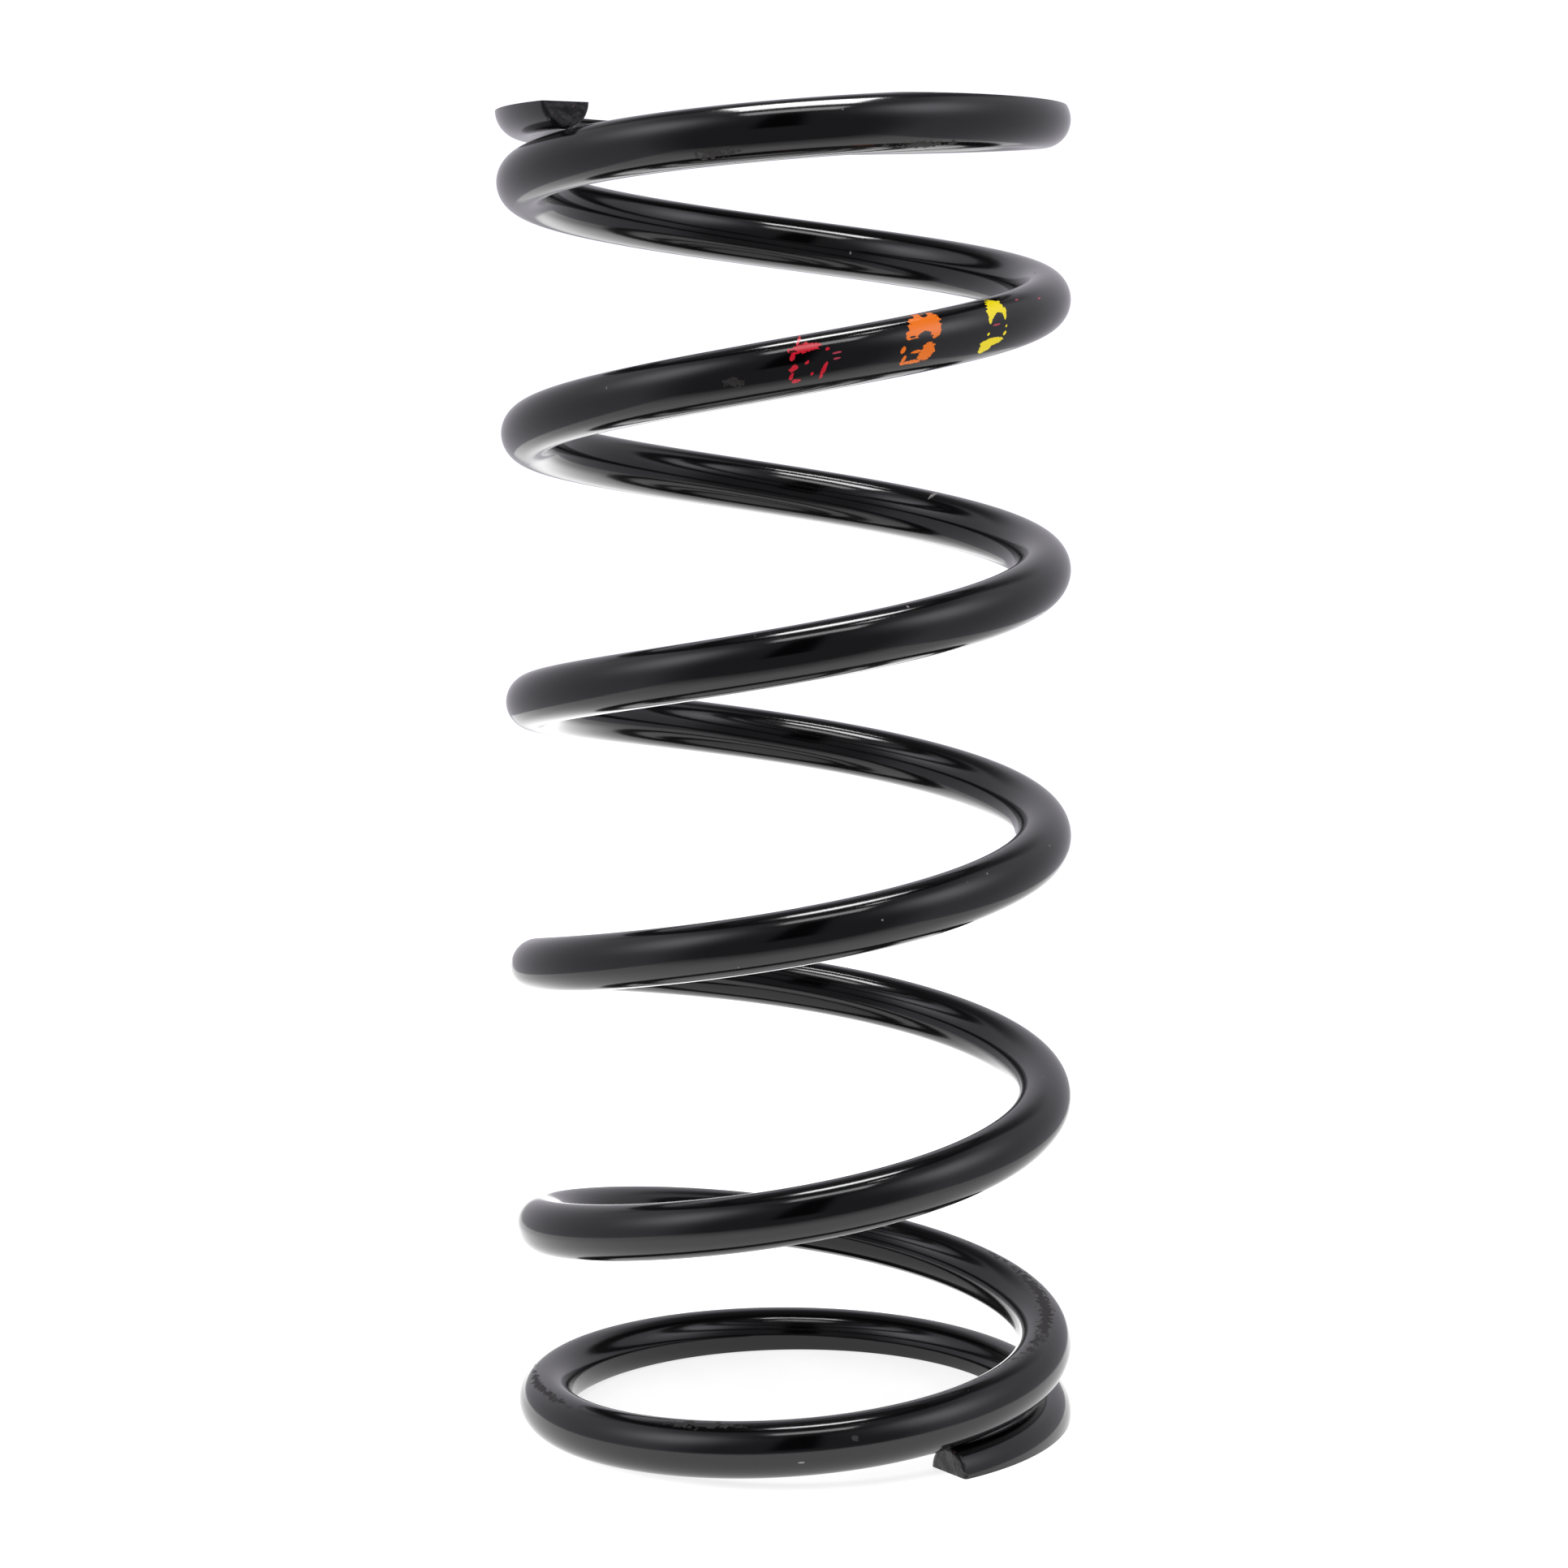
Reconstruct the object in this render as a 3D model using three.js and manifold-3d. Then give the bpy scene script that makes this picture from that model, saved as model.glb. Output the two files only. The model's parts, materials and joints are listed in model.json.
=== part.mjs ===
// Suspension coil spring for a passenger car: one round steel bar wound right-handed into
// equal coils, with both ends closed and ground flat. Millimetres, +Z up. The spring's
// axis is the Z axis and its lower seat is the plane z = 0.
//
// The real spring is a single bar that shortens because every bit of it twists. Here the
// bar is divided into stretches of wire. The coil at each end is one stiff stretch, because
// it lies closed on its seat, and the open coils between them are a chain of short
// stretches. Each stretch hangs in a pivot group at its lower cut, inside the group of the
// stretch below it, and turning the pivots about their own X axes closes the spring.

import * as THREE from 'three';
import { mergeVertices } from 'three/addons/utils/BufferGeometryUtils.js';
import Module from 'manifold-3d';

const wasm = await Module();
wasm.setup();

// ---- Driving dimensions ---------------------------------------------------------------

const wireDiameter = 14.5;
const meanDiameter = 136; // of the coils, measured at the middle of the wire
const freeLength = 351; // from seat to seat, unloaded
const totalTurns = 6.75; // from tip to tip along the wire
const lowerTipAzimuth = -53; // degrees round from +X
const tipThickness = 6.9; // steel left under each tip once the seat is ground
const tipGap = 0.3; // between a tip and the coil that it closes on

// How the pitch opens from each tip: turns that stay closed, then turns to full pitch.
const lowerEnd = { flatTurns: 0.4, openingTurns: 1.25 };
const upperEnd = { flatTurns: 0, openingTurns: 1.88 };

const endCoilTurns = 1; // stiff wire at each end, as far as the coil that touches the tip
const stretchCount = 19; // stretches of wire between the end coils
const cutGap = 0.4; // between the facing ends of two stretches
const hingeSlopeShare = 0.3; // slope of a pivot's axis, as a share of the wire's slope

// Fineness of the faceted wire.
const facetsPerQuarter = 4; // of the wire's round section
const stepsPerTurn = 32;

// ---- Sizes that follow ----------------------------------------------------------------

const wireRadius = wireDiameter / 2;
const coilRadius = meanDiameter / 2;
const firstCut = endCoilTurns;
const lastCut = totalTurns - endCoilTurns;
const stretchTurns = (lastCut - firstCut) / stretchCount;
const tipCentreHeight = tipThickness - wireRadius; // of the wire's middle, off its seat

// Turns of full pitch gained over the first x turns from a tip. The opening is a smooth
// step, t^3 (10 - 15 t + 6 t^2), and this is the area under it.
function openedTurns(x, end) {
  const t = (x - end.flatTurns) / end.openingTurns;
  if (t <= 0) return 0;
  if (t >= 1) return x - end.flatTurns - end.openingTurns / 2;
  return end.openingTurns * t ** 4 * (2.5 - 3 * t + t ** 2);
}

// The wire's rise over x turns from a tip is contactRise * closedShare + pitch * openShare,
// which comes to contactRise after one turn, where the wire passes over its own tip.
function closedShare(x, end) {
  return (x - openedTurns(x, end)) / (1 - openedTurns(1, end));
}

function openShare(x, end) {
  return openedTurns(x, end) - openedTurns(1, end) * closedShare(x, end);
}

const contactRise = wireDiameter + tipGap;
const halfTurns = totalTurns / 2;
const closedShares = closedShare(halfTurns, lowerEnd) + closedShare(halfTurns, upperEnd);
const openShares = openShare(halfTurns, lowerEnd) + openShare(halfTurns, upperEnd);
const activeRise = freeLength - 2 * tipCentreHeight - contactRise * closedShares;
const pitch = activeRise / openShares;

function riseFromTip(x, end) {
  return contactRise * closedShare(x, end) + pitch * openShare(x, end);
}

function wireHeight(turn) {
  if (turn <= halfTurns) return tipCentreHeight + riseFromTip(turn, lowerEnd);
  return freeLength - tipCentreHeight - riseFromTip(totalTurns - turn, upperEnd);
}

// ---- The wire -------------------------------------------------------------------------

const azimuthOf = (turn) => THREE.MathUtils.degToRad(lowerTipAzimuth) + turn * 2 * Math.PI;

// The middle line of the wire between two places, each counted in turns from the lower tip.
class WireLine extends THREE.Curve {
  constructor(fromTurn, toTurn) {
    super();
    this.fromTurn = fromTurn;
    this.toTurn = toTurn;
  }

  getPoint(t, target = new THREE.Vector3()) {
    const turn = THREE.MathUtils.lerp(this.fromTurn, this.toTurn, t);
    const azimuth = azimuthOf(turn);
    const x = coilRadius * Math.cos(azimuth);
    const y = coilRadius * Math.sin(azimuth);
    return target.set(x, y, wireHeight(turn));
  }
}

function wireGeometry(fromTurn, toTurn) {
  const section = new THREE.Shape().absarc(0, 0, wireRadius, 0, 2 * Math.PI);
  return new THREE.ExtrudeGeometry(section, {
    extrudePath: new WireLine(fromTurn, toTurn),
    steps: Math.ceil((toTurn - fromTurn) * stepsPerTurn),
    curveSegments: 2 * facetsPerQuarter,
    bevelEnabled: false,
  });
}

// ---- Grinding the seats ---------------------------------------------------------------

function toSolid(geometry) {
  const bare = geometry.clone();
  bare.deleteAttribute('normal');
  bare.deleteAttribute('uv');
  const merged = mergeVertices(bare);
  const vertProperties = new Float32Array(merged.attributes.position.array);
  const triVerts = new Uint32Array(merged.index.array);
  return new wasm.Manifold(new wasm.Mesh({ numProp: 3, vertProperties, triVerts }));
}

function toGeometry(solid) {
  const mesh = solid.getMesh();
  const geometry = new THREE.BufferGeometry();
  geometry.setAttribute('position', new THREE.BufferAttribute(mesh.vertProperties, 3));
  geometry.setIndex(new THREE.BufferAttribute(mesh.triVerts, 1));
  geometry.computeVertexNormals();
  return geometry;
}

// Takes off everything beyond a seat plane; side is -1 below the plane and 1 above it.
function grindSeat(geometry, height, side) {
  const width = 2 * (meanDiameter + wireDiameter);
  const block = new THREE.BoxGeometry(width, width, 2 * wireDiameter);
  block.translate(0, 0, height + side * wireDiameter);
  return toGeometry(toSolid(geometry).subtract(toSolid(block)));
}

// ---- Assembly -------------------------------------------------------------------------

function blackPowderCoat() {
  return new THREE.MeshStandardMaterial({ color: 0x141416, roughness: 0.2, metalness: 0 });
}

// A pivot's X axis lies along the wire but less steeply, and points down it, so that a
// positive turn lowers whatever stands on the pivot.
function makePivot(turn) {
  const pivot = new THREE.Group();
  const azimuth = azimuthOf(turn);
  const step = stretchTurns / 1000;
  const rise = wireHeight(turn + step) - wireHeight(turn - step);
  const slope = Math.atan2(rise, 2 * step * Math.PI * meanDiameter);
  const tilt = hingeSlopeShare * slope;
  const across = new THREE.Vector3(Math.cos(azimuth), Math.sin(azimuth), 0);
  const along = new THREE.Vector3(-Math.sin(azimuth), Math.cos(azimuth), 0);
  along.multiplyScalar(Math.cos(tilt)).setZ(Math.sin(tilt));
  const downWire = along.clone().negate();
  const third = new THREE.Vector3().crossVectors(downWire, across);
  pivot.quaternion.setFromRotationMatrix(new THREE.Matrix4().makeBasis(downWire, across, third));
  new WireLine(turn, turn + 1).getPoint(0, pivot.position);
  return pivot;
}

// Adds a stretch on a pivot at its lower end, and returns the pivot for the next to hang in.
function addStretch(parent, name, fromTurn, toTurn, geometry) {
  const pivot = makePivot(fromTurn);
  pivot.name = `${name}_pivot`;
  pivot.userData = { fromTurn, toTurn };
  pivot.updateMatrixWorld();
  const mesh = new THREE.Mesh(geometry, blackPowderCoat());
  mesh.name = name;
  mesh.geometry.applyMatrix4(pivot.matrixWorld.clone().invert());
  pivot.add(mesh);
  parent.attach(pivot);
  return pivot;
}

const halfCutTurns = cutGap / 2 / Math.hypot(Math.PI * meanDiameter, pitch);

const spring = new THREE.Group();
spring.name = 'coil_spring';

const lowerCoil = grindSeat(wireGeometry(0, firstCut - halfCutTurns), 0, -1);
const lowerMesh = new THREE.Mesh(lowerCoil, blackPowderCoat());
lowerMesh.name = 'lower_end_coil';
spring.add(lowerMesh);
spring.updateMatrixWorld();

let below = spring;
for (let i = 0; i < stretchCount; i += 1) {
  const fromTurn = firstCut + i * stretchTurns;
  const toTurn = fromTurn + stretchTurns;
  const name = `active_wire_${String(i + 1).padStart(2, '0')}`;
  const wire = wireGeometry(fromTurn + halfCutTurns, toTurn - halfCutTurns);
  below = addStretch(below, name, fromTurn, toTurn, wire);
}

const upperCoil = grindSeat(wireGeometry(lastCut + halfCutTurns, totalTurns), freeLength, 1);
addStretch(below, 'upper_end_coil', lastCut, totalTurns, upperCoil);

export default spring;
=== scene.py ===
import json
import math

import bmesh
import bpy
import numpy as np
from mathutils import Matrix, Vector

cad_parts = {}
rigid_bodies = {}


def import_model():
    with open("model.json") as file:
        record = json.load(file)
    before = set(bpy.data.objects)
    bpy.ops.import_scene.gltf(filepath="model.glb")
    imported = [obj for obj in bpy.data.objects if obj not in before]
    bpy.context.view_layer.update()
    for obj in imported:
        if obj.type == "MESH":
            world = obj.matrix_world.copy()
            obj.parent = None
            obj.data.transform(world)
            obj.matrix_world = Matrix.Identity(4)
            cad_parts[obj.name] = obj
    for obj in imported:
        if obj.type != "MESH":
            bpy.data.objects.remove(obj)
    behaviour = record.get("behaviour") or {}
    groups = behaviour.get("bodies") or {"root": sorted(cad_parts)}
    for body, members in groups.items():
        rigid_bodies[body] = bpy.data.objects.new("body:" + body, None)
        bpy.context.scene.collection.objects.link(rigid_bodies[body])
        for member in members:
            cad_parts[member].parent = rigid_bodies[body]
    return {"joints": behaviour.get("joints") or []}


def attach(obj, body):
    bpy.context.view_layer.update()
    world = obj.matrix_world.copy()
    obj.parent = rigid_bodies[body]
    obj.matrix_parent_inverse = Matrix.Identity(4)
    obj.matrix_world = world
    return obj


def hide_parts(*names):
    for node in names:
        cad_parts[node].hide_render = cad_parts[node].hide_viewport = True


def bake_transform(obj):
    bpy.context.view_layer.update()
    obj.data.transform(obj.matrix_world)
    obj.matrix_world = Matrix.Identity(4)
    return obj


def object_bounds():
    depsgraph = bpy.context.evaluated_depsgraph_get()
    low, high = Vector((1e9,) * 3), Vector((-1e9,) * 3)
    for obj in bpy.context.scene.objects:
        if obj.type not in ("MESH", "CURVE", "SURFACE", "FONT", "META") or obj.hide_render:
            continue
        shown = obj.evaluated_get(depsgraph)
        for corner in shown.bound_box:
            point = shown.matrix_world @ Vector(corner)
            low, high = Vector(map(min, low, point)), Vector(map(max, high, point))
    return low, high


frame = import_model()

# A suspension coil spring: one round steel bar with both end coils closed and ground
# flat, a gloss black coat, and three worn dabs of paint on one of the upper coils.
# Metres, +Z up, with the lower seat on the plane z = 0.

cad_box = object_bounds()
MM = 0.001

# ---- The spring's own sizes -------------------------------------------------------------

WIRE_RADIUS = 7.25 * MM
COIL_RADIUS = 68 * MM  # to the middle of the wire
FREE_LENGTH = cad_box[1].z - cad_box[0].z
TOTAL_TURNS = 6.75
END_COIL_TURNS = 1
LOWER_TIP = -2 * MM / (2 * math.pi * COIL_RADIUS)  # this end was sheared 2 mm long
LOWER_TIP_AZIMUTH = math.radians(-53)
TIP_THICKNESS = 6.9 * MM
TIP_GAP = 0.3 * MM
LOWER_END = (0.4, 1.25)  # turns that stay closed, then turns to full pitch
UPPER_END = (0, 1.88)

TURN_LENGTH_MM = 2 * math.pi * COIL_RADIUS / MM

# ---- Fineness of the wire's mesh --------------------------------------------------------

SIDES = 64
STEPS_PER_TURN = 480
SEAM_GAP_TURNS = 0.004 / TURN_LENGTH_MM  # 4 microns from each piece's end to its seam

# ---- The wire's line, counted in turns from the lower tip -------------------------------


def opened_turns(turns, end):
    """Turns of full pitch gained since a tip: the area under a smooth step."""
    flat, opening = end
    t = np.clip((turns - flat) / opening, 0, 1)
    return opening * t**4 * (2.5 - 3 * t + t**2) + np.maximum(turns - flat - opening, 0)


def closed_share(turns, end):
    return (turns - opened_turns(turns, end)) / (1 - opened_turns(1, end))


def open_share(turns, end):
    return opened_turns(turns, end) - opened_turns(1, end) * closed_share(turns, end)


CONTACT_RISE = 2 * WIRE_RADIUS + TIP_GAP
TIP_CENTRE = TIP_THICKNESS - WIRE_RADIUS
HALF = TOTAL_TURNS / 2
CLOSED_SHARES = closed_share(HALF, LOWER_END) + closed_share(HALF, UPPER_END)
OPEN_SHARES = open_share(HALF, LOWER_END) + open_share(HALF, UPPER_END)
PITCH = (FREE_LENGTH - 2 * TIP_CENTRE - CONTACT_RISE * CLOSED_SHARES) / OPEN_SHARES


def rise(turns, end):
    return CONTACT_RISE * closed_share(turns, end) + PITCH * open_share(turns, end)


def wire_height(turn):
    low = TIP_CENTRE + rise(turn, LOWER_END)
    high = FREE_LENGTH - TIP_CENTRE - rise(TOTAL_TURNS - turn, UPPER_END)
    return np.where(turn <= HALF, low, high)


def azimuth_of(turn):
    return LOWER_TIP_AZIMUTH + 2 * math.pi * turn


def wire_frame(turn):
    """Middle of the wire, and its outward, upward and forward directions."""
    turn = np.atleast_1d(np.asarray(turn, float))
    azimuth = azimuth_of(turn)
    cos, sin, zero = np.cos(azimuth), np.sin(azimuth), np.zeros_like(turn)
    middle = np.stack([COIL_RADIUS * cos, COIL_RADIUS * sin, wire_height(turn)], axis=1)
    step = 1e-4
    slope = (wire_height(turn + step) - wire_height(turn - step)) / (2 * step)
    slope = slope / (2 * math.pi * COIL_RADIUS)
    forward = np.stack([-sin, cos, slope], axis=1)
    forward /= np.linalg.norm(forward, axis=1, keepdims=True)
    outward = np.stack([cos, sin, zero], axis=1)
    return middle, outward, np.cross(outward, forward), forward


# ---- Camera -----------------------------------------------------------------------------


CAMERA_PLACE = (0, -0.960, 0.2888)
FOCAL_LENGTH = 82.85  # millimetres, for a frame 36 mm wide
CAMERA_TURN = math.radians(0.0857)  # to its left
CAMERA_DROP = math.radians(6.877)  # below level
CAMERA_ROLL = math.radians(-0.569)


def make_camera():
    bpy.ops.object.camera_add()
    camera = bpy.context.object
    camera.data.sensor_width = 36
    camera.data.lens = FOCAL_LENGTH
    camera.data.clip_start = 0.01
    place = Matrix.Translation(CAMERA_PLACE)
    heading = Matrix.Rotation(CAMERA_TURN, 4, "Z")
    down = Matrix.Rotation(math.radians(90) - CAMERA_DROP, 4, "X")
    roll = Matrix.Rotation(CAMERA_ROLL, 4, "Z")
    camera.matrix_world = place @ heading @ down @ roll
    bpy.context.scene.camera = camera


# ---- Writing shaders as expressions -----------------------------------------------------


class Value:
    """One output of a shader node, which Python's operators work on."""

    def __init__(self, finish, socket):
        self.finish, self.socket = finish, socket

    def __add__(self, other):
        return self.finish.maths("ADD", self, other)

    def __sub__(self, other):
        return self.finish.maths("SUBTRACT", self, other)

    def __rsub__(self, other):
        return self.finish.maths("SUBTRACT", other, self)

    def __mul__(self, other):
        return self.finish.maths("MULTIPLY", self, other)

    def __truediv__(self, other):
        return self.finish.maths("DIVIDE", self, other)

    __radd__, __rmul__ = __add__, __mul__


class Finish:
    """A node tree that is built one expression at a time."""

    def __init__(self, tree):
        self.tree = tree
        tree.nodes.clear()

    def node(self, kind, settings=None, inputs=None, output=0):
        made = self.tree.nodes.new(kind)
        for name, value in (settings or {}).items():
            setattr(made, name, value)
        for name, value in (inputs or {}).items():
            if isinstance(value, Value):
                self.tree.links.new(value.socket, made.inputs[name])
            else:
                made.inputs[name].default_value = value
        return Value(self, made.outputs[output]) if made.outputs else made

    def maths(self, operation, first, second=0.0):
        return self.node("ShaderNodeMath", {"operation": operation}, {0: first, 1: second})

    def least(self, *values):
        found = values[0]
        for value in values[1:]:
            found = self.maths("MINIMUM", found, value)
        return found

    def most(self, *values):
        found = values[0]
        for value in values[1:]:
            found = self.maths("MAXIMUM", found, value)
        return found

    def step(self, value, start, end):
        """0 before start and 1 after end, or the other way when end is lower."""
        settings = {"interpolation_type": "SMOOTHSTEP"}
        low, high, first, last = (start, end, 0, 1) if start < end else (end, start, 1, 0)
        inputs = {"Value": value, "From Min": low, "From Max": high}
        inputs.update({"To Min": first, "To Max": last})
        return self.node("ShaderNodeMapRange", settings, inputs)

    def noise(self, place, size, detail=2.0, roughness=0.5):
        """Cloudy noise about 0.5, with features about as large as size."""
        inputs = {"Vector": place, "Scale": 1 / size, "Detail": detail, "Roughness": roughness}
        return self.node("ShaderNodeTexNoise", None, inputs)

    def part(self, vector, axis):
        return self.node("ShaderNodeSeparateXYZ", None, {"Vector": vector}, axis)

    def mix(self, share, first, second):
        """Two colours, with share of the second."""
        settings = {"data_type": "RGBA"}
        return self.node("ShaderNodeMix", settings, {0: share, 6: first, 7: second}, 2)

    def vector(self, operation, first, second):
        output = "Value" if operation in ("LENGTH", "DOT_PRODUCT", "DISTANCE") else "Vector"
        return self.node(
            "ShaderNodeVectorMath", {"operation": operation}, {0: first, 1: second}, output
        )

    def bump(self, height, distance, strength=1.0):
        inputs = {"Height": height, "Distance": distance, "Strength": strength}
        return self.node("ShaderNodeBump", None, inputs)

    def surface(self, **sockets):
        shader = self.node("ShaderNodeBsdfPrincipled", None, sockets)
        self.node("ShaderNodeOutputMaterial", None, {"Surface": shader})


def new_finish(name):
    material = bpy.data.materials.new(name)
    material.use_nodes = True
    return material, Finish(material.node_tree)


# ---- The coat ---------------------------------------------------------------------------
#
# Patterns on the wire are laid out as if it had been straightened. Its place there is an
# attribute of the mesh: millimetres along it, outward and upward.

PLACE = "straight_wire_mm"
BLACK = (0.0015, 0.0014, 0.0017, 1)
DUST = (0.30, 0.29, 0.28, 1)
PRIMER = (0.085, 0.075, 0.065, 1)
RUBBED = (0.016, 0.014, 0.012, 1)
RUST = (0.16, 0.055, 0.022, 1)


def on_wire(turn, angle):
    """A place on the straightened wire's surface; angle is up from straight outward."""
    angle = math.radians(angle)
    radius = WIRE_RADIUS / MM
    return (turn * TURN_LENGTH_MM, radius * math.cos(angle), radius * math.sin(angle))


def patch(finish, place, centre, size):
    """How far out a place is in an oval patch: 0 at its centre and 1 at its edge."""
    inputs = {"Vector": place, "Location": centre, "Scale": size}
    inside = finish.node("ShaderNodeMapping", {"vector_type": "TEXTURE"}, inputs)
    return finish.vector("LENGTH", inside, (0, 0, 0))


def wire_place(finish):
    settings = {"attribute_name": PLACE}
    return finish.node("ShaderNodeAttribute", settings, None, "Vector")


def dust(finish, place):
    """Sparse pale specks, a few tenths of a millimetre across."""
    inputs = {"Vector": place, "Scale": 0.24, "Randomness": 1.0}
    cells = finish.node("ShaderNodeTexVoronoi", None, inputs)
    owner = finish.node("ShaderNodeTexVoronoi", None, inputs, 1)
    chosen = finish.node("ShaderNodeSeparateColor", None, {"Color": owner})
    return finish.step(cells, 0.05, 0.02) * finish.step(chosen, 0.955, 0.975)


# Chips, as turn, angle, and half their length and width in millimetres.
CHIPS = (
    (0.900, -15, 0.8, 0.25),
    (2.947, 12, 0.25, 0.25),
    (3.019, 46, 0.25, 0.25),
    (3.083, 37, 0.25, 0.25),
    (3.969, 67, 0.3, 0.5),
    (4.103, -10, 0.4, 0.3),
    (4.292, 108, 0.7, 2.6),
    (4.644, -87, 0.6, 0.5),
    (4.797, 21, 0.2, 0.4),
    (5.065, 96, 0.9, 0.4),
    (5.138, 108, 0.7, 0.4),
    (5.348, 180, 0.3, 0.5),
    (5.667, -63, 0.4, 0.4),
)

# Dull rubbed places, the same way.
SCUFFS = (
    (0.695, 65, 17, 1.0),
    (0.842, 76, 8, 1.3),
    (0.930, 24, 0.8, 0.6),
    (1.148, 86, 32, 1.6),
    (4.869, -12, 2.0, 1.0),
    (5.860, -40, 4.0, 1.2),
    (5.974, -56, 7.0, 1.2),
)


def patch_mask(finish, place, patches, ragged, wear):
    """1 within any of several oval patches, with their edges worn ragged."""
    nearest = 9
    for turn, angle, half_length, half_width in patches:
        size = (half_length, half_width, half_width)
        nearest = finish.least(nearest, patch(finish, place, on_wire(turn, angle), size))
    return finish.step(nearest + (ragged - 0.5) * wear, 1.03, 0.95)


def paint_coat(name, chips=(), scuffs=(), marks=()):
    """Gloss black with a little dust, and the given chips, scuffs and dabs of paint."""
    material, finish = new_finish(name)
    place = wire_place(finish)
    grain = finish.noise(place, 0.9, 2.0)
    specks = dust(finish, place)
    colour = finish.mix(specks, BLACK, DUST)
    rough = 0.10 + finish.noise(place, 20.0, 3.0) * 0.05 + specks * 0.5
    height = grain * 0.025 + finish.noise(place, 6.0, 1.0) * 0.12

    ragged = finish.noise(place, 1.1, 3.0, 0.6)
    if chips:
        chipped = patch_mask(finish, place, chips, ragged, 1.0)
        colour = finish.mix(chipped, colour, finish.mix(grain, DUST, PRIMER))
        rough = finish.most(rough, chipped * 0.75)
        height = height - chipped * 0.25
    if scuffs:
        torn = finish.noise(place, 1.7, 5.0, 0.7)
        rubbed = patch_mask(finish, place, scuffs, torn, 6.0)
        colour = finish.mix(rubbed, colour, RUBBED)
        rough = finish.most(rough, rubbed * 0.62)
        height = height - rubbed * 0.5
    for paint, wear, dabs, gaps in marks:
        mask = dab_mask(finish, place, (ragged - 0.5) * wear, dabs, gaps)
        colour = finish.mix(mask, colour, paint)
        rough = rough * (1 - mask) + mask * 0.26
    normal = finish.bump(height, MM, 0.12)
    finish.surface(**{"Base Color": colour, "Roughness": rough, "Normal": normal})
    return material


def coat_for(name, from_turn, to_turn, plain):
    """The coat of one piece of wire: the plain one, unless the piece has flaws or marks."""

    def there(patches):
        near = []
        for flaw in patches:
            reach = flaw[2] / TURN_LENGTH_MM + 0.01
            if from_turn - reach < flaw[0] < to_turn + reach:
                near.append(flaw)
        return near

    chips, scuffs = there(CHIPS), there(SCUFFS)
    marks = MARKS if from_turn < MARKED_TURN < to_turn else ()
    if not (chips or scuffs or marks):
        return plain
    return paint_coat(f"{name}_coat", chips, scuffs, marks)


# Dabs of paint worn into islands. Each dab leans forward going up the wire, and is a list
# of ovals: distance forward from the mark's middle, height, and half its length and width.
LEAN = 0.55


def dab_mask(finish, place, worn, dabs, gaps):
    along, up = finish.part(place, 0), finish.part(place, 2)
    leaning = along - up * LEAN

    def nearest(ovals):
        found = 9
        for turn, forward, height, half_length, half_width in ovals:
            ahead = (leaning - (turn * TURN_LENGTH_MM + forward)) / half_length
            above = (up - height) / half_width
            found = finish.least(found, ahead * ahead + above * above)
        return finish.maths("SQRT", found)

    outer_side = finish.step(finish.part(place, 1), 0, 0.2)
    mask = finish.step(nearest(dabs) + worn, 1.03, 0.97)
    if gaps:
        mask = mask * finish.step(nearest(gaps) + worn, 0.97, 1.03)
    return mask * outer_side


RED = (0.58, 0.004, 0.022, 1)
ORANGE = (0.90, 0.185, 0.001, 1)
YELLOW = (0.98, 0.80, 0.001, 1)
PINK = (0.40, 0.035, 0.070, 1)

RED_AT, ORANGE_AT, YELLOW_AT = 4.9098, 4.9722, 5.0207  # turns
RED_DABS = (
    (RED_AT, -4.6, 5.7, 0.4, 1.5),
    (RED_AT, -2.4, 4.0, 3.3, 1.05),
    (RED_AT, -4.7, 2.6, 0.55, 1.1),
    (RED_AT, -3.3, -0.4, 0.9, 0.8),
    (RED_AT, -3.1, -2.3, 0.4, 0.9),
    (RED_AT, -1.8, -3.6, 1.0, 0.4),
    (RED_AT, -0.7, 0.55, 0.5, 0.45),
    (RED_AT, 1.5, -2.4, 0.4, 0.4),
    (RED_AT, 3.9, -1.7, 0.45, 2.0),
    (RED_AT, 2.9, 2.9, 0.5, 0.35),
)
ORANGE_DABS = (
    (ORANGE_AT, -2.2, 4.6, 2.6, 2.6),
    (ORANGE_AT, 0.6, 4.6, 2.8, 2.4),
    (ORANGE_AT, -4.0, 2.8, 1.5, 1.2),
    (ORANGE_AT, 2.3, 3.2, 1.4, 2.0),
    (ORANGE_AT, 1.5, -1.8, 1.9, 2.2),
    (ORANGE_AT, -1.3, -1.4, 1.3, 0.35),
    (ORANGE_AT, -5.0, -0.4, 0.6, 0.8),
    (ORANGE_AT, -3.8, -2.6, 0.5, 0.9),
    (ORANGE_AT, -1.5, -3.7, 2.6, 0.45),
)
ORANGE_GAPS = (
    (ORANGE_AT, -3.6, 2.3, 0.7, 0.25),
    (ORANGE_AT, -0.6, 2.4, 1.6, 0.7),
    (ORANGE_AT, -0.2, 6.6, 0.9, 0.3),
)
YELLOW_DABS = (
    (YELLOW_AT, -0.2, 4.4, 3.1, 2.6),
    (YELLOW_AT, -2.4, 3.0, 0.6, 1.3),
    (YELLOW_AT, 2.5, 3.2, 0.5, 1.2),
    (YELLOW_AT, 0.0, -2.7, 3.6, 1.0),
    (YELLOW_AT, -1.2, -3.6, 2.0, 1.5),
    (YELLOW_AT, 3.5, -1.2, 0.5, 0.5),
    (YELLOW_AT, 3.3, 0.45, 0.3, 0.3),
    (YELLOW_AT, -2.3, -0.6, 0.4, 0.4),
)
YELLOW_GAPS = ((YELLOW_AT, 0.2, 1.7, 2.2, 2.3),)
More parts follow.
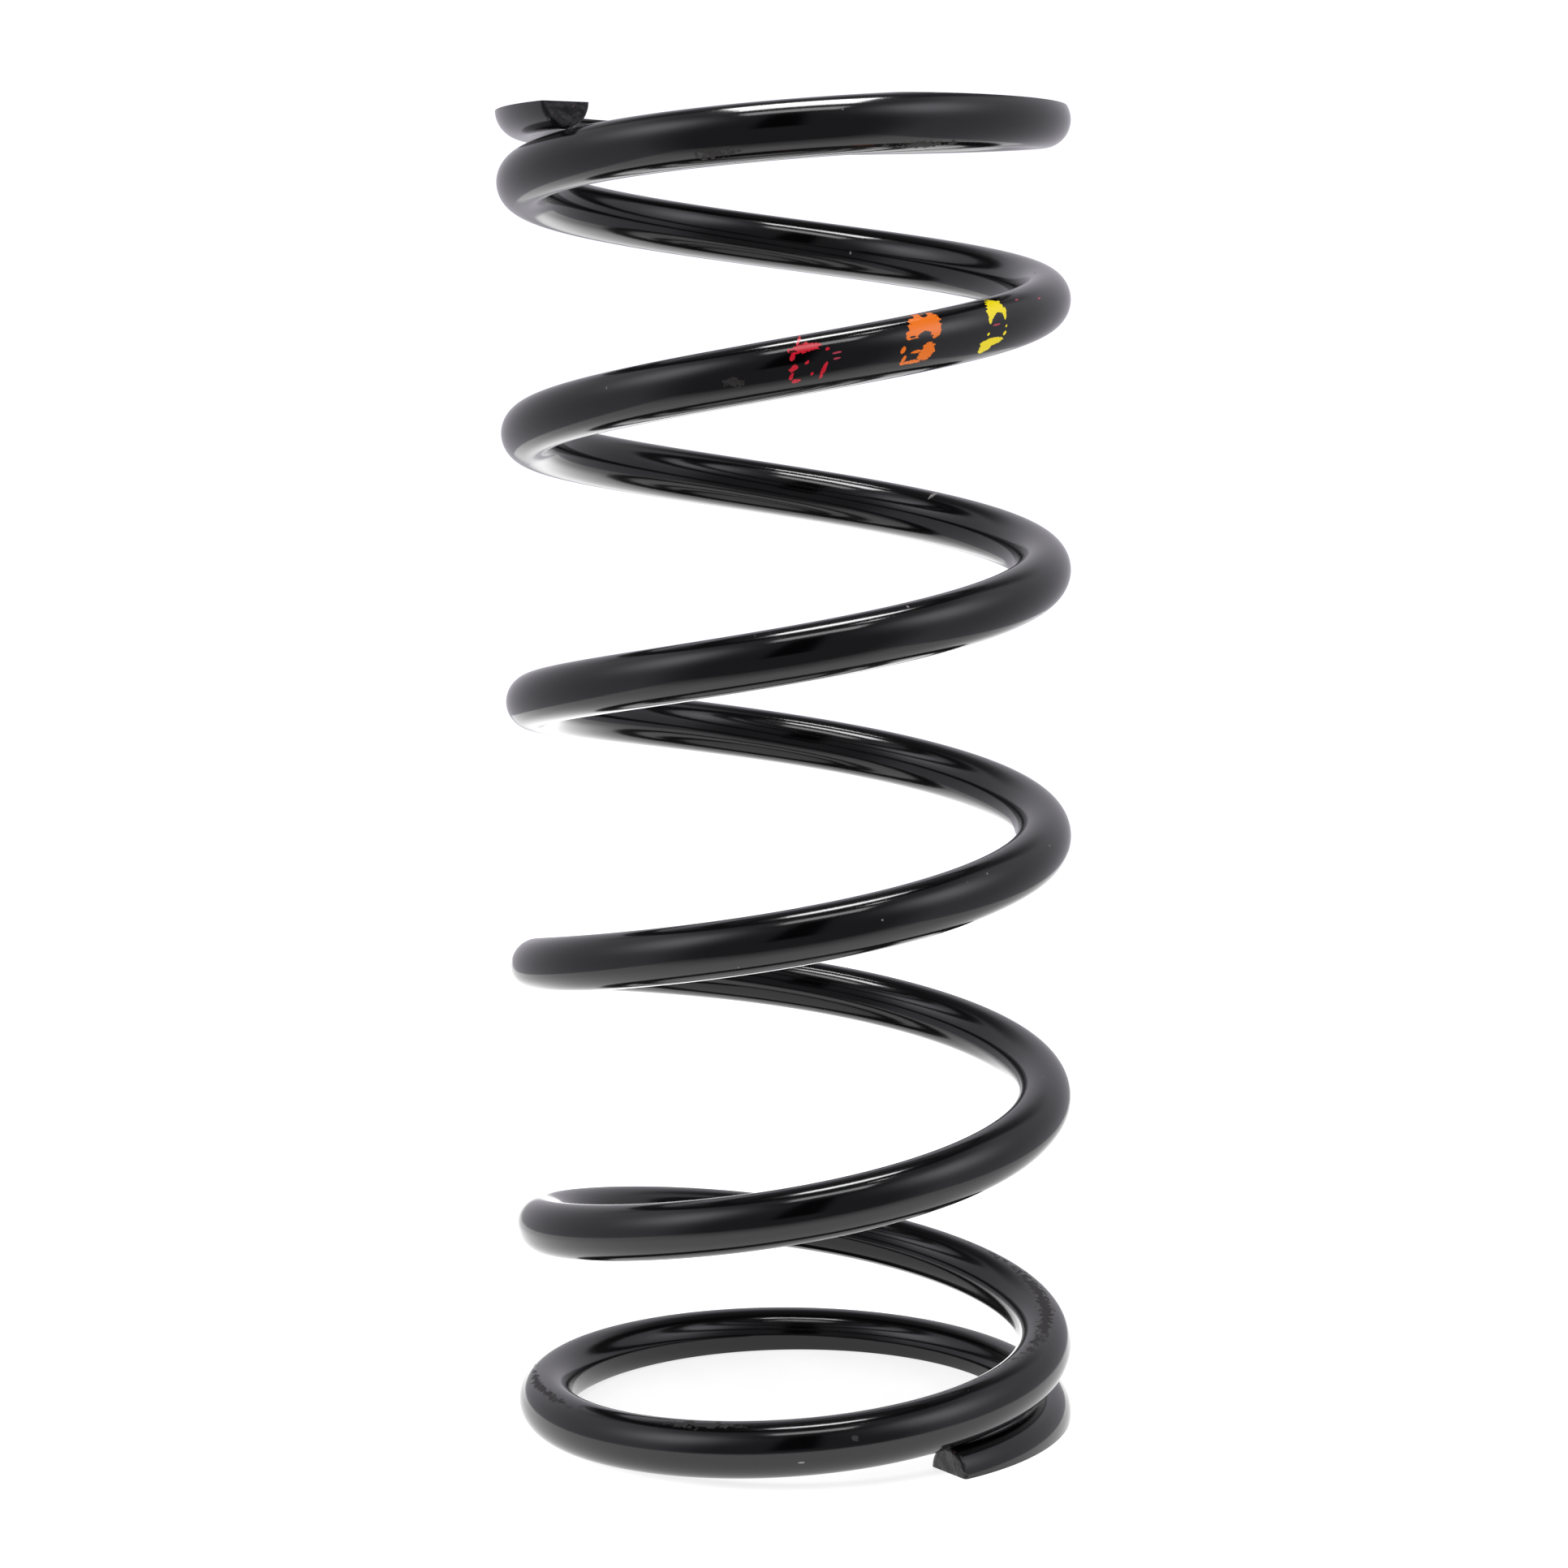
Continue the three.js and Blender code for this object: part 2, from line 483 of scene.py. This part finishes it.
PINK_DABS = (
    (RED_AT, 5.5, 1.7, 1.0, 0.25),
    (RED_AT, 6.0, 0.3, 0.8, 0.22),
    (YELLOW_AT, -0.4, 1.3, 1.2, 0.25),
    (YELLOW_AT, 8.7, 5.7, 0.6, 0.2),
    (YELLOW_AT, 18.3, 4.6, 0.6, 0.2),
)
# Each mark: its paint, how ragged its edges are, its dabs, and the gaps in them.
MARKS = (
    (RED, 2.2, RED_DABS, ()),
    (ORANGE, 1.5, ORANGE_DABS, ORANGE_GAPS),
    (YELLOW, 0.8, YELLOW_DABS, YELLOW_GAPS),
    (PINK, 1.5, PINK_DABS, ()),
)
MARKED_TURN = 5.0  # the piece of wire here carries all the marks


def ground_coat(name):
    """The ground seats: coated too, but duller, with faint rings left by the grinding."""
    material, finish = new_finish(name)
    place = finish.node("ShaderNodeTexCoord", None, None, "Object")
    flat = finish.vector("MULTIPLY", place, (1, 1, 0))
    from_axis = finish.vector("LENGTH", flat, (0, 0, 0))
    line = finish.node("ShaderNodeCombineXYZ", None, {0: from_axis})
    rings = finish.noise(line, 0.5 * MM, 3.0)
    cloud = finish.noise(place, 8 * MM, 3.0)
    colour = finish.mix(cloud, (0.004, 0.004, 0.004, 1), (0.010, 0.0095, 0.009, 1))
    rough = 0.28 + cloud * 0.14 + rings * 0.08
    normal = finish.bump(rings, 0.05 * MM, 0.25)
    finish.surface(**{"Base Color": colour, "Roughness": rough, "Normal": normal})
    return material


def sheared_coat(name):
    """The cut ends of the bar: coated over a coarse sheared face, with a little rust."""
    material, finish = new_finish(name)
    place = finish.node("ShaderNodeTexCoord", None, None, "Object")
    coarse = finish.noise(place, 4.5 * MM, 2.0)
    fine = finish.noise(place, 1.1 * MM, 4.0)
    rust = finish.step(finish.noise(place, 1.6 * MM, 3.0), 0.70, 0.74)
    colour = finish.mix(rust, (0.004, 0.004, 0.0045, 1), RUST)
    rough = 0.22 + fine * 0.12 + rust * 0.4
    normal = finish.bump(coarse * 1.6 + fine * 0.25, MM, 0.5)
    finish.surface(**{"Base Color": colour, "Roughness": rough, "Normal": normal})
    return material


# ---- Making the wire --------------------------------------------------------------------


def deselect():
    if bpy.context.object and bpy.context.object.mode != "OBJECT":
        bpy.ops.object.mode_set(mode="OBJECT")
    bpy.ops.object.select_all(action="DESELECT")


def sweep_wire(name, from_turn, to_turn):
    """Round wire between two places on the spring's line, with both ends closed."""
    deselect()
    bpy.ops.mesh.primitive_circle_add(
        vertices=SIDES,
        radius=WIRE_RADIUS,
        location=(COIL_RADIUS, 0, 0),
        rotation=(math.pi / 2, 0, 0),
    )
    piece = bpy.context.object
    piece.name = piece.data.name = name
    bpy.ops.object.transform_apply(location=True, rotation=True, scale=True)
    bpy.ops.object.mode_set(mode="EDIT")
    bpy.ops.mesh.select_all(action="SELECT")
    bpy.ops.mesh.spin(
        steps=math.ceil((to_turn - from_turn) * STEPS_PER_TURN),
        angle=-2 * math.pi * (to_turn - from_turn),  # spin turns the other way
        center=(0, 0, 0),
        axis=(0, 0, 1),
    )
    bpy.ops.mesh.select_all(action="DESELECT")
    bpy.ops.mesh.select_non_manifold(extend=False, use_boundary=True)
    bpy.ops.mesh.edge_face_add()
    bpy.ops.object.mode_set(mode="OBJECT")
    raise_to_line(piece, from_turn)
    make_closed(piece)
    return piece


def raise_to_line(piece, from_turn):
    """Lifts a flat ring's sections onto the spring's line, square to the wire."""
    mesh = piece.data
    flat = np.empty(len(mesh.vertices) * 3, np.float32)
    mesh.vertices.foreach_get("co", flat)
    x, y, z = flat.reshape(-1, 3).astype(float).T
    tiny = 1e-5
    turn = from_turn + (np.arctan2(y, x) / (2 * math.pi) + tiny) % 1 - tiny
    angle = np.arctan2(z, np.hypot(x, y) - COIL_RADIUS)
    middle, outward, upward, _ = wire_frame(turn)
    out, up = WIRE_RADIUS * np.cos(angle), WIRE_RADIUS * np.sin(angle)
    lifted = middle + outward * out[:, None] + upward * up[:, None]
    mesh.vertices.foreach_set("co", lifted.astype(np.float32).ravel())
    place = mesh.attributes.new(PLACE, "FLOAT_VECTOR", "POINT")
    straight = np.stack([turn * TURN_LENGTH_MM, out / MM, up / MM], axis=1)
    place.data.foreach_set("vector", straight.astype(np.float32).ravel())
    mesh.update()


def make_closed(piece):
    deselect()
    bpy.context.view_layer.objects.active = piece
    piece.select_set(True)
    bpy.ops.object.mode_set(mode="EDIT")
    bpy.ops.mesh.select_all(action="SELECT")
    bpy.ops.mesh.normals_make_consistent(inside=False)
    bpy.ops.object.mode_set(mode="OBJECT")
    bpy.ops.object.shade_smooth_by_angle(angle=math.radians(30))


# ---- Chamfering and grinding the ends ---------------------------------------------------


def edit(piece, kind):
    """Opens a piece for editing with nothing selected."""
    deselect()
    bpy.context.view_layer.objects.active = piece
    piece.select_set(True)
    bpy.ops.object.mode_set(mode="EDIT")
    bpy.ops.mesh.select_mode(type=kind)
    bpy.ops.mesh.select_all(action="DESELECT")


TIP_CHAMFER = 1.0 * MM
LEAST_SEAT = 20 * MM * MM  # area that tells a ground seat from the facets of the wire


def chamfer_tip(piece, turn):
    """Breaks the edge of the wire's cut end."""
    middle, _, _, forward = wire_frame(turn)
    middle, forward = Vector(middle[0]), Vector(forward[0])
    edit(piece, "FACE")
    shape = bmesh.from_edit_mesh(piece.data)
    for face in shape.faces:
        face.select = (face.calc_center_median() - middle).length < 0.1 * MM
    bmesh.update_edit_mesh(piece.data)
    bpy.ops.mesh.region_to_loop()
    bpy.ops.mesh.bevel(offset=TIP_CHAMFER, segments=3, affect="EDGES")
    bpy.ops.object.mode_set(mode="OBJECT")


def grind_seat(piece, height, side):
    """Takes off what lies beyond a seat plane; side is -1 below it and 1 above it."""
    edit(piece, "EDGE")
    bpy.ops.mesh.select_all(action="SELECT")
    bpy.ops.mesh.bisect(
        plane_co=(0, 0, height), plane_no=(0, 0, side), clear_outer=True, threshold=1e-7
    )
    bpy.ops.mesh.select_all(action="DESELECT")
    bpy.ops.mesh.select_non_manifold(extend=False, use_boundary=True)
    bpy.ops.mesh.edge_face_add()
    bpy.ops.object.mode_set(mode="OBJECT")


def coat_end_faces(piece, turn, ground, sheared):
    """Gives the seat and the cut face their own finishes."""
    middle, _, _, forward = wire_frame(turn)
    middle, forward = Vector(middle[0]), Vector(forward[0])
    piece.data.materials.append(ground)
    piece.data.materials.append(sheared)
    for face in piece.data.polygons:
        away = face.center - middle
        if abs(face.normal.z) > 0.999 and face.area > LEAST_SEAT:
            face.material_index = 1
        elif away.length < 2 * WIRE_RADIUS and abs(away.dot(forward)) < 1.1 * TIP_CHAMFER:
            face.material_index = 2


# ---- Assembly ---------------------------------------------------------------------------


def finish_piece(piece, from_turn, to_turn, plain):
    piece.data.materials.append(coat_for(piece.name, from_turn, to_turn, plain))


def build_end(name, from_turn, to_turn, tip_turn, seat_height, side, body, finishes):
    """One stiff end coil, which its body carries."""
    coat, ground, sheared = finishes
    piece = sweep_wire(name, from_turn, to_turn)
    chamfer_tip(piece, tip_turn)
    grind_seat(piece, seat_height, side)
    make_closed(piece)
    finish_piece(piece, from_turn, to_turn, coat)
    coat_end_faces(piece, tip_turn, ground, sheared)
    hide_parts(body)
    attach(piece, body)


def build_spring():
    coat = paint_coat("gloss_black_coat")
    finishes = (coat, ground_coat("ground_seat_coat"), sheared_coat("sheared_end_coat"))
    joints = frame["joints"]
    stretch = (TOTAL_TURNS - 2 * END_COIL_TURNS) / (len(joints) - 1)
    reach = stretch / 2 - SEAM_GAP_TURNS
    first, last = joints[0]["parent"], joints[-1]["child"]
    low_end = END_COIL_TURNS - reach - 2 * SEAM_GAP_TURNS
    high_end = TOTAL_TURNS - low_end
    build_end("lower_end_wire", LOWER_TIP, low_end, LOWER_TIP, 0, -1, first, finishes)
    build_end(
        "upper_end_wire", high_end, TOTAL_TURNS, TOTAL_TURNS, FREE_LENGTH, 1, last, finishes
    )

    for i, joint in enumerate(joints):
        cut = END_COIL_TURNS + i * stretch
        piece = sweep_wire(f"coil_wire_{i + 1:02d}", cut - reach, cut + reach)
        finish_piece(piece, cut - reach, cut + reach, coat)
        azimuth = azimuth_of(cut)
        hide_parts(joint["parent"], joint["child"])
        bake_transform(piece)


# ---- Studio -----------------------------------------------------------------------------

LAMP_HEIGHT = 1.0  # of the lamps over the middle of the spring
# Each overhead lamp: its brightness, its width, and where it starts and ends along Y.
TOP_SOFTBOX = (18, 0.40, -0.09, 0.29)
FRONT_STRIP = (5, 0.46, -0.47, -0.28)
FILL_PLACE = (0, -0.9, 0.35)
FILL_TILT = math.radians(82)
FILL_SIZE = 0.8
FILL_POWER = 2.8
TINT = (1.0, 0.975, 1.06, 1)  # of the tent's light
PLAIN_WHITE = 1.1  # brightness of the table and the walls where they are looked at directly


def soft_lamp(name, radiance, x_size, y_from, y_to):
    """A rectangular softbox overhead, facing down. Its brightness is per unit of area."""
    bpy.ops.object.light_add(type="AREA")
    lamp = bpy.context.object
    lamp.name = name
    lamp.data.shape = "RECTANGLE"
    lamp.data.size = x_size
    lamp.data.size_y = y_to - y_from
    lamp.data.energy = radiance * math.pi * x_size * (y_to - y_from)
    lamp.location = (0, (y_from + y_to) / 2, FREE_LENGTH / 2 + LAMP_HEIGHT)
    lamp.visible_camera = False


def front_fill():
    """Low light from the camera's side that lifts the paint but leaves no reflection."""
    bpy.ops.object.light_add(type="AREA", location=FILL_PLACE)
    lamp = bpy.context.object
    lamp.name = "front_fill"
    lamp.rotation_euler = (FILL_TILT, 0, 0)
    lamp.data.size = FILL_SIZE
    lamp.data.energy = FILL_POWER
    lamp.visible_camera = False
    lamp.visible_glossy = False


CORNER_GLOW_WAY = (0.678, -0.274, 0.682)  # towards the bright right-hand corner


def make_tent():
    """White fabric walls: bright at each side, darker to the front, with a dark slot."""
    world = bpy.data.worlds.new("studio_tent")
    bpy.context.scene.world = world
    world.use_nodes = True
    tent = Finish(world.node_tree)
    way = tent.node("ShaderNodeTexCoord", None, None, "Generated")
    x, y, z = (tent.part(way, axis) for axis in range(3))
    level = tent.maths("SQRT", x * x + y * y + 0.0001)
    front = 0 - y / level
    sideways = x / level + 0.04

    walls = 0.22 + 0.44 * tent.step(front, 0.85, 0.45)
    glow = 0
    across, forth, up = CORNER_GLOW_WAY
    for side in (-1, 1):
        spot = tent.vector("DOT_PRODUCT", way, (side * across, forth, up))
        glow = tent.maths("EXPONENT", 20 * (spot - 1)) * 1.6 + glow
    ceiling = tent.step(z, 0.95, 0.78)
    back_top = tent.step(z, 0.5, 0.78) * tent.step(front, -0.6, -0.85)
    slot = tent.step(tent.maths("ABSOLUTE", sideways), 0.22, 0.12) * tent.step(front, 0, 0.2)
    slot = slot * tent.step(z, 0.08, 0.18) * tent.step(z, 0.90, 0.84)
    light = (walls + glow) * (0.45 + 0.55 * ceiling) * (1 - 0.8 * back_top) * (1 - slot)

    seen = tent.node("ShaderNodeLightPath", None, None, "Is Camera Ray")
    strength = light * (1 - seen) + PLAIN_WHITE * seen
    lit = tent.node("ShaderNodeBackground", None, {"Color": TINT, "Strength": strength})
    tent.node("ShaderNodeOutputWorld", None, {"Surface": lit})


TABLE_MIDDLE = (0, 0.275, -0.2 * MM)
TABLE_SIZE = (0.60, 1.25, 1)
BORE_EDGE = (0.074, 0.064)  # the table inside the spring is seen in its shade


def make_floor():
    """A white table whose glow is painted light: a painted pool of light around and behind the
    spring, as the lamps would leave it, with painted shadow near the spring and painted shade
    inside it.
    """
    bpy.ops.mesh.primitive_plane_add(size=1, location=TABLE_MIDDLE)
    floor = bpy.context.object
    floor.name = "studio_floor"
    floor.scale = TABLE_SIZE
    bpy.ops.object.transform_apply(location=True, rotation=True, scale=True)
    material, finish = new_finish("white_table")
    place = finish.node("ShaderNodeTexCoord", None, None, "Object")
    x, y = finish.part(place, 0), finish.part(place, 1)
    # Painted light: the glow is dim to the front and brightest in a painted pool of light
    # around and behind the spring.
    behind = finish.most(0 - y, y * 0.2)
    painted_light_pool = finish.step(finish.maths("SQRT", x * x + behind * behind), 0.24, 0.09)
    level = 0.25 + 0.85 * finish.step(y, -0.34, -0.15) + painted_light_pool * 1.5
    distance = finish.vector("LENGTH", place, (0, 0, 0))
    # Painted shadow: the glow is darker close to the spring.
    level = level * (1 - 0.5 * finish.step(distance, 0.25, 0.10))
    seen = finish.node("ShaderNodeLightPath", None, None, "Is Camera Ray")
    level = level * (1 - seen) + PLAIN_WHITE * seen
    # Painted shade: inside the spring the table glows dimmer, in soft patches, also where it
    # is looked at directly.
    patchy_painted_shade = finish.noise(place, 0.03, 3.0) * 0.10
    inside = finish.step(distance, *BORE_EDGE)
    level = level * (1 - inside) + inside * (0.74 + patchy_painted_shade)
    glow = finish.node("ShaderNodeCombineColor", None, {0: level, 1: level, 2: level})
    sockets = {"Base Color": (0.25, 0.25, 0.25, 1), "Roughness": 0.6}
    sockets.update({"Emission Color": glow, "Emission Strength": 1.0})
    finish.surface(**sockets)
    floor.data.materials.append(material)


deselect()
make_camera()
build_spring()
soft_lamp("top_softbox", *TOP_SOFTBOX)
soft_lamp("front_strip", *FRONT_STRIP)
front_fill()
make_tent()
make_floor()
bpy.context.scene.view_settings.view_transform = "Standard"
